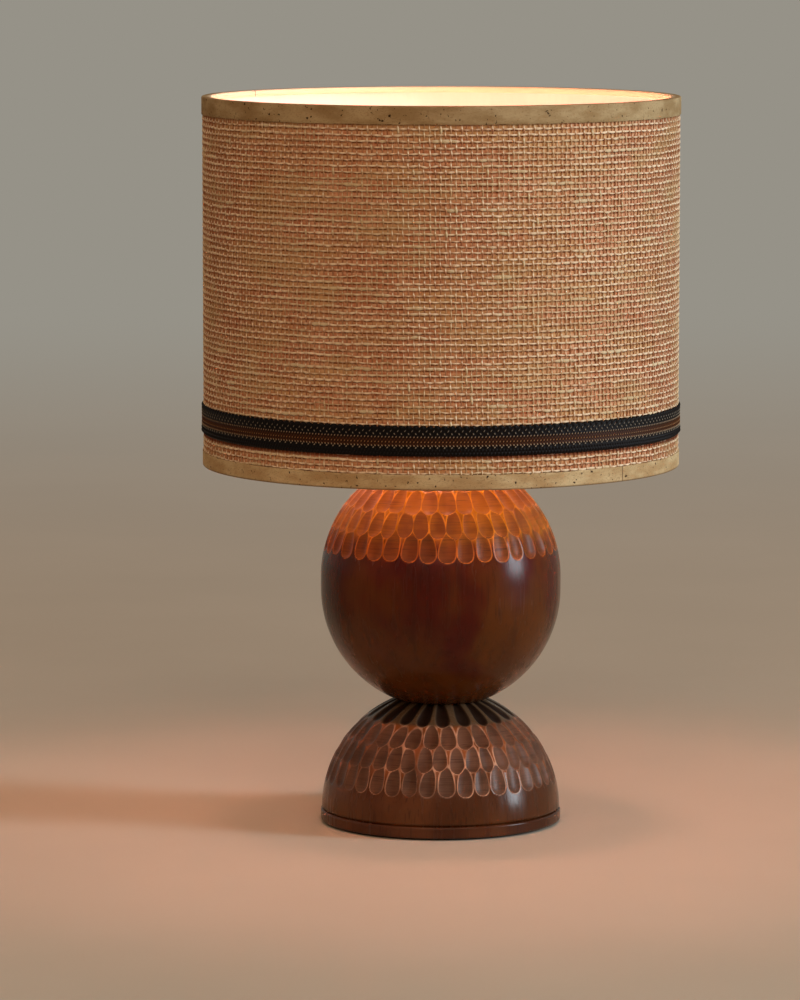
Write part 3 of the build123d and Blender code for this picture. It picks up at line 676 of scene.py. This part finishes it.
def painted_braid_shadow(tree, place, color):
    """Darkens a colour of the cloth just below the braid's lower edge, a painted shadow of the braid."""
    height = add(tree, "ShaderNodeSeparateXYZ", {0: place}).outputs["Z"]
    lower_edge = spread(tree, height, braid_foot - 2.4 * mm, braid_foot - 1.2 * mm, 0.0, 0.8)
    upper_edge = spread(tree, height, braid_foot + 2 * mm, braid_foot + 4 * mm, 1.0, 0.0)
    braid_shadow_share = combine(tree, "MULTIPLY", lower_edge, upper_edge)
    return blend_colors(tree, braid_shadow_share, color, linear(112, 48, 22))


ground_columns = 360
ground_around = np.arange(ground_columns) * 2 * math.pi / ground_columns
ground_rows = np.linspace(cloth_foot, cloth_top, 24)
ground_radius = np.repeat([ground_outer, ground_inner], ground_rows.size)[:, None]
ground_height = np.concatenate([ground_rows, ground_rows[::-1]])[:, None]
ground = grid_piece("ground_cloth", round_points(ground_radius, ground_around, ground_height), wrap_rows=True)
ground_finish, ground_tree, ground_shader = new_finish("ground_cloth", Roughness=0.9, Specular_IOR_Level=0.1)
ground_place = object_place(ground_tree)
ground_warp = noise(ground_tree, ground_place, 1.0, (900, 900, 60), 3.0)
ground_weft = noise(ground_tree, ground_place, 1.0, (60, 60, 900), 3.0)
ground_cloud = noise(ground_tree, ground_place, 24.0, (1, 1, 2.2), 4.0)
ground_weave = combine(ground_tree, "ADD", ground_warp, ground_weft)
ground_color = blend_colors(
    ground_tree, spread(ground_tree, ground_weave, 0.8, 1.2), linear(194, 127, 90), linear(222, 172, 134)
)
ground_color = blend_colors(
    ground_tree, spread(ground_tree, ground_cloud, 0.42, 0.62, 0.0, 0.7), ground_color, linear(206, 168, 116)
)
# Painted shadow: the ground cloth turns dark brown just below each weft, in dashes that a noise breaks.
ground_lift = add(ground_tree, "ShaderNodeSeparateXYZ", {0: ground_place}).outputs["Z"]
ground_lift = combine(ground_tree, "SUBTRACT", ground_lift, cloth_foot)
ground_order = combine(ground_tree, "MULTIPLY", ground_lift, weft_count / cloth_height)
ground_gap = combine(ground_tree, "FRACT", ground_order, 0.0)
ground_shadow_low = spread(ground_tree, ground_gap, 0.02, 0.2)
ground_shadow_high = spread(ground_tree, ground_gap, 0.3, 0.42, 1.0, 0.0)
ground_shadow_break = noise(ground_tree, ground_place, 330.0, (1, 1, 0.4), 2.0)
ground_shadow_break = spread(ground_tree, ground_shadow_break, 0.4, 0.6, 0.25, 0.9)
ground_painted_shadow = combine(ground_tree, "MULTIPLY", ground_shadow_low, ground_shadow_high)
ground_painted_shadow = combine(ground_tree, "MULTIPLY", ground_painted_shadow, ground_shadow_break)
ground_color = blend_colors(ground_tree, ground_painted_shadow, ground_color, linear(112, 58, 30))
# Painted shadow of the braid on the ground cloth below it.
ground_color = painted_braid_shadow(ground_tree, ground_place, ground_color)
ground_tree.links.new(ground_color, ground_shader.inputs["Base Color"])
bump(ground_tree, ground_shader, ground_weave, 0.15 * mm)
ground.data.materials.append(ground_finish)
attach(ground, "shade")
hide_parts("shade_fabric")


def drift(shape, knots, amount, closed):
    """Smooth random drift along the last axis: random values at even knots, joined by a cosine ease."""
    values = loom.normal(0, amount, (*shape[:-1], knots + 1))
    if closed:
        values[..., -1] = values[..., 0]
    at = np.linspace(0, knots, shape[-1], endpoint=not closed)
    before = np.minimum(at.astype(int), knots - 1)
    share = 0.5 - 0.5 * np.cos(math.pi * (at - before))
    return values[..., before] * (1 - share) + values[..., before + 1] * share


def yarn_piece(name, radius, around, height, wide, thick, tone, usual, level):
    """Yarns as five-sided tubes: a centre line plus thick cos(turn) outwards and wide sin(turn) sideways.

    radius, around and height are the centre line's, and all six arrays are [yarn, point]. wide is half the
    yarn's width along the cloth, usual its mean, and thick half its depth. Yarns that are level run round the
    drum: their width lies upright, and their ends are joined.
    """
    turn = np.arange(5) * 2 * math.pi / 5
    out = radius[..., None] + thick[..., None] * np.cos(turn)
    side = wide[..., None] * np.sin(turn)
    angle, up = around[..., None], height[..., None]
    if level:
        up = up - side
    else:
        angle = angle + side / radius[..., None]
    # tone carries the yarn's own tone and its painted shading.
    values = {"tone": tone[..., None], "plump": (wide / usual)[..., None]}
    piece = grid_piece(name, round_points(out, angle, up), wrap_rows=level, values=values)
    piece.data.materials.append(yarn_finish)
    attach(piece, "shade")
    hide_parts("shade_fabric")
    return piece


def yarn_pieces(name, shapes, usual, level):
    """Splits the yarns into three pieces. shapes are yarn_piece's arrays, from radius to tone."""
    groups = np.array_split(np.arange(len(shapes[0])), 3)
    return [
        yarn_piece(f"{name}_{number + 1}", *[shape[group] for shape in shapes], usual, level)
        for number, group in enumerate(groups)
    ]


yarn_finish, yarn_tree, yarn_shader = new_finish(
    "jute_yarn", Roughness=0.8, Specular_IOR_Level=0.2, Sheen_Weight=0.15
)
yarn_place = object_place(yarn_tree)
# The tone attribute holds each yarn's own tone and painted shading: lighter where it passes over, darker
# where it passes under.
yarn_tone_and_shading = surface_value(yarn_tree, "tone")
yarn_plump = surface_value(yarn_tree, "plump")
yarn_fibre = noise(yarn_tree, yarn_place, 1500.0, detail=4.0, roughness=0.7)
yarn_patch = noise(yarn_tree, yarn_place, 26.0, (1, 1, 2.2), 4.0)
yarn_pale_and_highlight = spread(yarn_tree, yarn_tone_and_shading, -1.0, 1.2)
yarn_color = blend_colors(yarn_tree, yarn_pale_and_highlight, linear(184, 140, 104), linear(246, 227, 196))
# Painted shade: the lowest tones, where yarns pass under, turn rust brown.
yarn_painted_shade = spread(yarn_tree, yarn_tone_and_shading, -1.9, -0.8)
yarn_color = blend_colors(yarn_tree, yarn_painted_shade, linear(156, 100, 64), yarn_color)
yarn_color = blend_colors(
    yarn_tree, spread(yarn_tree, yarn_plump, 1.25, 1.75, 0.0, 0.75), yarn_color, linear(212, 198, 160)
)
yarn_color = blend_colors(
    yarn_tree, spread(yarn_tree, yarn_patch, 0.45, 0.62, 0.0, 0.5), yarn_color, linear(202, 178, 132)
)
yarn_color = blend_colors(
    yarn_tree, spread(yarn_tree, yarn_fibre, 0.52, 0.7, 0.0, 0.5), yarn_color, linear(158, 118, 82)
)
# Painted shadow of the braid on the yarns below it.
yarn_color = painted_braid_shadow(yarn_tree, yarn_place, yarn_color)
yarn_tree.links.new(yarn_color, yarn_shader.inputs["Base Color"])
bump(yarn_tree, yarn_shader, yarn_fibre, 0.12 * mm)

weft_usual = 0.6 * mm
weft_points = 2 * warp_count
weft_grid = (weft_count, weft_points)
weft_around = np.arange(weft_points) * 2 * math.pi / weft_points
weft_at = cloth_foot + (np.arange(weft_count) + 0.5) / weft_count * cloth_height
weft_height = weft_at[:, None] + drift(weft_grid, 150, 0.2 * mm, True)
weft_height += drift(weft_grid, 24, 0.16 * mm, True)
weft_swell = np.exp(drift(weft_grid, 90, 0.25, True))
weft_swell += 0.9 * np.clip(drift(weft_grid, 60, 1.0, True) - 1.3, 0, 1)
weft_parity = np.cos(math.pi * (np.arange(weft_points)[None, :] / 2 + np.arange(weft_count)[:, None]))
weft_radius = yarn_circle - yarn_swing * weft_parity
weft_wide = np.clip(weft_usual * weft_swell * (1 - 0.1 * weft_parity), 0.34 * mm, 1.3 * mm)
weft_tone_and_shading = drift(weft_grid, 60, 0.35, True) + loom.normal(0, 0.18, (weft_count, 1))
# Painted shading: a weft is lighter where it passes over a warp and darker where it passes under.
weft_tone_and_shading += 0.2 - 0.75 * weft_parity
weft_height += 0.06 * mm * weft_parity
weft_thick = 0.34 * mm * np.sqrt(weft_swell)
weft_angle = np.broadcast_to(weft_around, weft_height.shape)
weft_shapes = (weft_radius, weft_angle, weft_height, weft_wide, weft_thick, weft_tone_and_shading)
wefts = yarn_pieces("jute_weft", weft_shapes, weft_usual, True)

warp_usual = 0.43 * mm
warp_points = 4 * weft_count + 1
warp_grid = (warp_count, warp_points)
warp_inset = 0.3 * mm
warp_line = np.linspace(cloth_foot + warp_inset, cloth_top - warp_inset, warp_points)
warp_order = (warp_line - cloth_foot) / cloth_height * weft_count - 0.5
warp_at = np.arange(warp_count) * 2 * math.pi / warp_count
warp_phase = math.pi * (warp_order[None, :] + np.arange(warp_count)[:, None])
warp_around = warp_at[:, None] + drift(warp_grid, 34, 0.14 * mm, False) / shade_radius
warp_around += drift(warp_grid, 6, 0.2 * mm, False) / shade_radius
warp_around -= 0.16 * mm * np.sin(warp_phase) / shade_radius
warp_swell = np.exp(drift(warp_grid, 30, 0.26, False))
warp_radius = yarn_circle + yarn_swing * np.cos(warp_phase)
warp_press = 0.85 + 0.15 * np.cos(warp_phase)
warp_wide = np.clip(warp_usual * warp_swell * warp_press, 0.24 * mm, 0.8 * mm)
warp_thick = 0.3 * mm * np.sqrt(warp_swell)
warp_height = np.broadcast_to(warp_line, warp_radius.shape)
warp_tone_and_shading = drift(warp_grid, 16, 0.35, False) + loom.normal(0, 0.2, (warp_count, 1))
# Painted highlight and shade: a warp is brightest just above where it passes over a weft, darker elsewhere.
warp_tone_and_shading += 2.9 * np.clip(np.cos(warp_phase - 0.7), 0, 1) ** 2.5 - 1.5
warp_shapes = (warp_radius, warp_around, warp_height, warp_wide, warp_thick, warp_tone_and_shading)
warps = yarn_pieces("jute_warp", warp_shapes, warp_usual, False)


# Rim tapes: flecked natural tape folded over each edge of the drum and its wire, and glued outside and in.
# The end of each laps over its start.
def tape_finish(name, dark, light, rim_darkening):
    """Natural tape with fibres and a few dark flecks, darker towards its rim by the given share.

    Its leg inside the drum is paler, a painted glow of the bulb's light, and its lap shows as a dark line.
    """
    material, tree, shader = new_finish(name, Roughness=0.85, Specular_IOR_Level=0.15)
    place = object_place(tree)
    cloud = noise(tree, place, 45.0, (1, 1, 2.5), 4.0)
    fibre = noise(tree, place, 700.0, (1, 1, 2), 4.0, 0.65)
    fleck = noise(tree, place, 420.0, detail=2.0, roughness=0.5)
    inside = surface_value(tree, "inside")
    color = blend_colors(tree, spread(tree, cloud, 0.35, 0.68), dark, light)
    color = blend_colors(tree, spread(tree, fibre, 0.5, 0.72, 0.0, 0.6), color, linear(124, 96, 64))
    color = blend_colors(tree, spread(tree, fleck, 0.665, 0.71), color, linear(56, 38, 24))
    lap = surface_value(tree, "lap")
    rim = surface_value(tree, "rim")
    # The tape turns darker towards its rim by the given share.
    color = blend_colors(tree, spread(tree, rim, 0.02, 0.16, rim_darkening, 0.0), color, linear(92, 68, 42))
    # Painted light: the leg inside the drum is paler, as the bulb lights it.
    color = blend_colors(tree, combine(tree, "MULTIPLY", inside, 0.8), color, linear(238, 224, 196))
    color = blend_colors(tree, spread(tree, lap, 0.2, 0.6, 0.7, 0.0), color, linear(70, 46, 24))
    tree.links.new(color, shader.inputs["Base Color"])
    bump(tree, shader, fibre, 0.1 * mm)
    return material


tape_columns = 480
tape_around = np.arange(tape_columns) * 2 * math.pi / tape_columns
tape_thickness = 0.8 * mm
tape_outer = 150.05 * mm
tape_inner = 145.4 * mm
top_lap_column = 194
bottom_lap_column = 423
lap_columns = 6
lap_rise = 0.15 * mm
sewing = np.random.default_rng(5)


def waves(around, counts, amount):
    """Sum of sine waves round the drum with random phases, so many waves a turn each."""
    phases = sewing.uniform(0, 2 * math.pi, len(counts))
    return sum(amount / len(counts) * np.sin(count * around + phase) for count, phase in zip(counts, phases))


def folded_tape(name, node, edge, width, side, lap_column, material):
    """Tape round a rim: up the outside, over the edge, and down inside. side is 1 at the bottom, else -1.

    The profile is points (radius, distance from the rim) joined in order, and its free edge waves. The tape
    lies double and a little prouder for lap_columns columns from lap_column on.
    """
    outer, inner, thick = tape_outer, tape_inner, tape_thickness
    bend = np.radians(np.linspace(0, 90, 6))
    shares = (0.985, 0.8, 0.6, 0.4, 0.2, 0.06)
    outer_leg = [(outer + thick, share * width + (1 - share) * thick) for share in shares]
    outer_bend = [(outer + thick * math.cos(angle), thick - thick * math.sin(angle)) for angle in bend]
    inner_bend = [(inner - thick * math.sin(angle), thick - thick * math.cos(angle)) for angle in bend]
    inner_leg = [(inner - thick, 3.9 * mm), (inner - 0.05 * mm, 3.95 * mm), (inner, 3.8 * mm), (inner, thick)]
    glued = [(outer, thick), (outer, width * 0.5), (outer, width), (outer + thick * 0.8, width)]
    over_rim = ((outer + inner) / 2, 0.0)
    profile = np.array([*outer_leg, *outer_bend, over_rim, *inner_bend, *inner_leg, *glued])
    reach = profile[:, 1:] + 0 * tape_around
    free = np.clip((reach - 0.6 * width) / (0.4 * width), 0, 1) * (profile[:, :1] > outer - 0.5 * mm)
    reach = reach + free * waves(tape_around, (7, 19, 41, 83), 0.3 * mm)
    swell = (profile[:, :1] > outer + 0.3 * mm) * waves(tape_around, (5, 13, 31, 64), 0.12 * mm)
    radius = profile[:, :1] + swell * np.clip(1 - np.abs(reach / width - 0.5) * 2, 0, 1)
    columns = np.arange(tape_columns) - lap_column
    lap = np.minimum(columns % tape_columns, -columns % tape_columns) * cloth_girth / tape_columns / mm
    double = (columns >= 0) & (columns <= lap_columns)
    radius = radius + lap_rise * double * (profile[:, :1] > outer + 0.5 * mm)
    points = round_points(radius, tape_around, edge + side * reach)
    inside = np.clip(((outer + inner) / 2 - radius) / (1.5 * mm), 0, 1)
    rim = np.clip(reach / width, 0, 1)
    if side > 0:
        points, inside, rim = points[::-1], inside[::-1], rim[::-1]
    values = {"inside": inside, "rim": rim, "lap": lap[None, :]}
    piece = grid_piece(name, points, wrap_rows=True, values=values)
    piece.data.materials.append(material)
    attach(piece, "shade")
    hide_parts(node)


top_tape = tape_finish("top_tape", linear(149, 125, 87), linear(178, 158, 120), 0.0)
bottom_tape = tape_finish("bottom_tape", linear(174, 146, 104), linear(200, 180, 139), 0.7)
top_tape_foot, top_rim = (float(corner[2]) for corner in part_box("top_trim"))
bottom_rim, bottom_tape_top = (float(corner[2]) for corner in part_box("bottom_trim"))
top_width, bottom_width = top_rim - top_tape_foot, bottom_tape_top - bottom_rim
folded_tape("rim_tape_top", "top_trim", top_rim, top_width, -1, top_lap_column, top_tape)
folded_tape("rim_tape_bottom", "bottom_trim", bottom_rim, bottom_width, 1, bottom_lap_column, bottom_tape)


# Braid: a woven gimp of black and brown cord, glued on round the drum. Its crowns stand in rows, some of them
# caught by a lighter thread painted brightest on each crown's peak as a highlight, with painted shade between
# the crowns. Its upper edge is a row of loops.
braid_repeat_count = 217
braid_repeat_columns = 10
braid_columns = braid_repeat_count * braid_repeat_columns
braid_inner = 150.3 * mm
braid_skin = 150.95 * mm
crown_rise = 0.8 * mm
# The loops and rows are given in mm.
loop_height = 1.1
loops_start = 15.0
loops_full = 18.8
braid_rows = (
    (17.6, 1.0, 0.0, 0.9, 1.5, 0.75, 0.0),
    (15.7, 1.0, 0.5, 0.5, 1.4, 0.8, 1.0),
    (13.8, 1.0, -0.4, 0.6, 0.95, 0.8, 1.2),
    (11.9, 0.5, 0.35, 0.5, 0.85, 0.8, 1.15),
    (10.2, 0.5, 0.0, 0.5, 0.8, 0.6, 0.1),
    (8.9, 0.5, 0.2, 0.5, 0.85, 0.8, 0.95),
    (7.4, 0.5, 0.0, 0.5, 0.8, 0.6, 0.1),
    (6.6, 0.5, -0.4, 0.6, 0.95, 0.8, 1.25),
    (5.4, 1.0, 0.4, 0.65, 0.85, 0.8, 1.25),
    (3.6, 0.5, 0.3, 0.6, 0.95, 1.0, 0.3),
    (1.7, 0.5, 0.3, 0.6, 0.95, 1.0, 0.25),
)
braid_pitch = cloth_girth / mm / braid_repeat_count
braid_mm_around = np.arange(braid_columns) / braid_repeat_columns * braid_pitch
braid_mm_up = np.linspace(0, braid_width / mm, 37)


def braid_crowns(along, up):
    """Height from 0 to 1 and thread lightness of the cord crowns: the highest of the bumps of all rows.

    A row is (height in mm, spacing in repeats, slant, half width, half height, rise, lightness). The
    lightness peaks on each crown's top, a painted highlight.
    """
    height = np.zeros((up.size, along.size))
    light = height.copy()
    for row, (level, spacing, slant, half_wide, half_high, rise, lightness) in enumerate(braid_rows):
        gap = spacing * braid_pitch
        offset = 0.5 * gap * (row % 2)
        lift = up[:, None] - level
        across = along[None, :] - offset - slant * lift
        across = across - gap * np.round(across / gap)
        field = rise * np.clip(1 - (across / half_wide) ** 2 - (lift / half_high) ** 2, 0, 1)
        higher = field > height
        light = np.where(higher, lightness * field / rise, light)
        height = np.where(higher, field, height)
    return height, light


braid_height, braid_light = braid_crowns(braid_mm_around, braid_mm_up)
loop = loop_height * np.abs(np.sin(math.pi * (braid_mm_around / braid_pitch + 0.5))) ** 0.7
edge_share = np.clip((braid_mm_up[:, None] - loops_start) / (loops_full - loops_start), 0, 1)
braid_up = (braid_mm_up[:, None] - edge_share * (loop_height - loop[None, :])) * mm + braid_foot
closing = np.clip(np.minimum(braid_mm_up, braid_mm_up[::-1]) / 0.6, 0, 1)[:, None]
braid_out = braid_inner + (braid_skin - braid_inner) * closing + braid_height * crown_rise * closing
braid_back = np.full((2, braid_columns), braid_inner - 0.15 * mm)
braid_radius = np.concatenate([braid_out, braid_back])
braid_z = np.concatenate([braid_up, braid_up[-1:], braid_up[:1]])
braid_angle = braid_mm_around / (cloth_girth / mm) * 2 * math.pi
braid_brown = np.exp(-(((braid_mm_up - 9.2) / 2.6) ** 4))[:, None] + 0 * braid_height
braid_values = {"crown": braid_height, "light": braid_light, "brown": braid_brown}
braid_values = {key: np.concatenate([value, 0 * value[:2]]) for key, value in braid_values.items()}
braid_points = round_points(braid_radius, braid_angle, braid_z)
braid = grid_piece("braid_gimp", braid_points, wrap_rows=True, values=braid_values)
braid_finish, braid_tree, braid_shader = new_finish("braid", Roughness=0.5, Specular_IOR_Level=0.1)
braid_place = object_place(braid_tree)
braid_fibre = noise(braid_tree, braid_place, 1600.0, detail=3.0)
braid_share = {key: surface_value(braid_tree, key) for key in ("crown", "light", "brown")}
braid_base = blend_colors(braid_tree, braid_share["brown"], linear(19, 15, 15), linear(72, 37, 11))
braid_thread = blend_colors(braid_tree, braid_share["brown"], linear(142, 132, 116), linear(176, 138, 96))
braid_thread_and_highlight = spread(braid_tree, braid_share["light"], 0.45, 0.9)
braid_color = blend_colors(braid_tree, braid_thread_and_highlight, braid_base, braid_thread)
# Painted shade: the braid turns near black between its crowns, where they are low.
braid_color = blend_colors(
    braid_tree, spread(braid_tree, braid_share["crown"], 0.0, 0.25, 0.7, 0.0), braid_color, linear(10, 7, 7)
)
braid_tree.links.new(braid_color, braid_shader.inputs["Base Color"])
bump(braid_tree, braid_shader, braid_fibre, 0.06 * mm)
braid.data.materials.append(braid_finish)
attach(braid, "shade")
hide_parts("braid_band")


# Bulb: an etched opal glass pear in a rolled metal screw cap, switched on, with its filament on a glass stem.
# The glass itself gives the light.
bulb_color = (1.0, 0.4, 0.265, 1.0)
bulb_strength = 54.0
opal_glass = mottled_finish(
    "opal_glass",
    linear(244, 236, 220),
    linear(250, 245, 234),
    40.0,
    Roughness=0.35,
    Emission_Color=bulb_color,
    Emission_Strength=bulb_strength,
)
dress("bulb_glass", opal_glass)

clear_finish, clear_tree, clear_shader = new_finish("clear_glass", Transmission_Weight=0.9, IOR=1.5)
clear_place = object_place(clear_tree)
clear_cloud = noise(clear_tree, clear_place, 120.0)
clear_rough = spread(clear_tree, clear_cloud, 0.3, 0.7, 0.03, 0.12)
clear_tree.links.new(clear_rough, clear_shader.inputs["Roughness"])
dress("bulb_stem", clear_finish)

black_glass = mottled_finish(
    "black_glass", linear(14, 13, 16), linear(30, 28, 34), 400.0, Coat_Weight=0.4
)
dress("bulb_insulator", black_glass)

rolled_metal = metal_finish("bulb_metal", linear(196, 194, 188), linear(168, 164, 156), 0.26, (3, 3, 0.3))
dress("bulb_tip", rolled_metal)
dress("bulb_filament", metal_finish("filament", linear(120, 110, 100), linear(90, 80, 70), 0.5))

cap_foot, cap_top = (float(corner[2]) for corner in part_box("bulb_cap"))
cap_radius = 13.0 * mm
cap_neck = 7.0 * mm
cap_wall = 0.3 * mm
cap_pitch = 3.63 * mm
cap_groove = 0.9 * mm
cap_rows = np.arange(cap_foot + 1.6 * mm, cap_top, cap_pitch / 12)
cap_rolled = np.clip((cap_rows - cap_rows[0]) / cap_pitch * 2, 0, 1)
cap_rolled *= np.clip((cap_top - cap_rows) / cap_pitch, 0, 1)
cap_wave = screw_wave(sleeve_around[None, :], cap_rows[:, None], cap_pitch)
cap_dip = cap_groove * (1 - cap_wave) * cap_rolled[:, None]
cap_ends = np.array([
    [cap_neck, cap_foot],
    [cap_radius - 1.2 * mm, cap_foot],
    [cap_radius - 0.4 * mm, cap_foot + 0.5 * mm],
])
cap_end_skin = np.repeat(cap_ends[:, :1], sleeve_columns, axis=1)
cap_edge = np.full((1, sleeve_columns), cap_radius)
cap_skin = np.concatenate([cap_end_skin, cap_radius - cap_dip, cap_edge])
cap_lift = np.concatenate([cap_ends[:, 1], cap_rows, [cap_top]])
cap_inside = np.maximum(cap_lift[::-1][:-1], cap_foot + cap_wall)
cap_radii = np.concatenate([cap_skin, cap_skin[::-1][:-1] - cap_wall, cap_skin[:1]])
cap_heights = np.concatenate([cap_lift, cap_inside, [cap_foot + cap_wall]])
cap_points = round_points(cap_radii, sleeve_around, cap_heights[:, None])
cap = grid_piece("bulb_screw_cap", cap_points, wrap_rows=True)
cap.data.materials.append(rolled_metal)
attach(cap, "bulb")
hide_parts("bulb_cap")
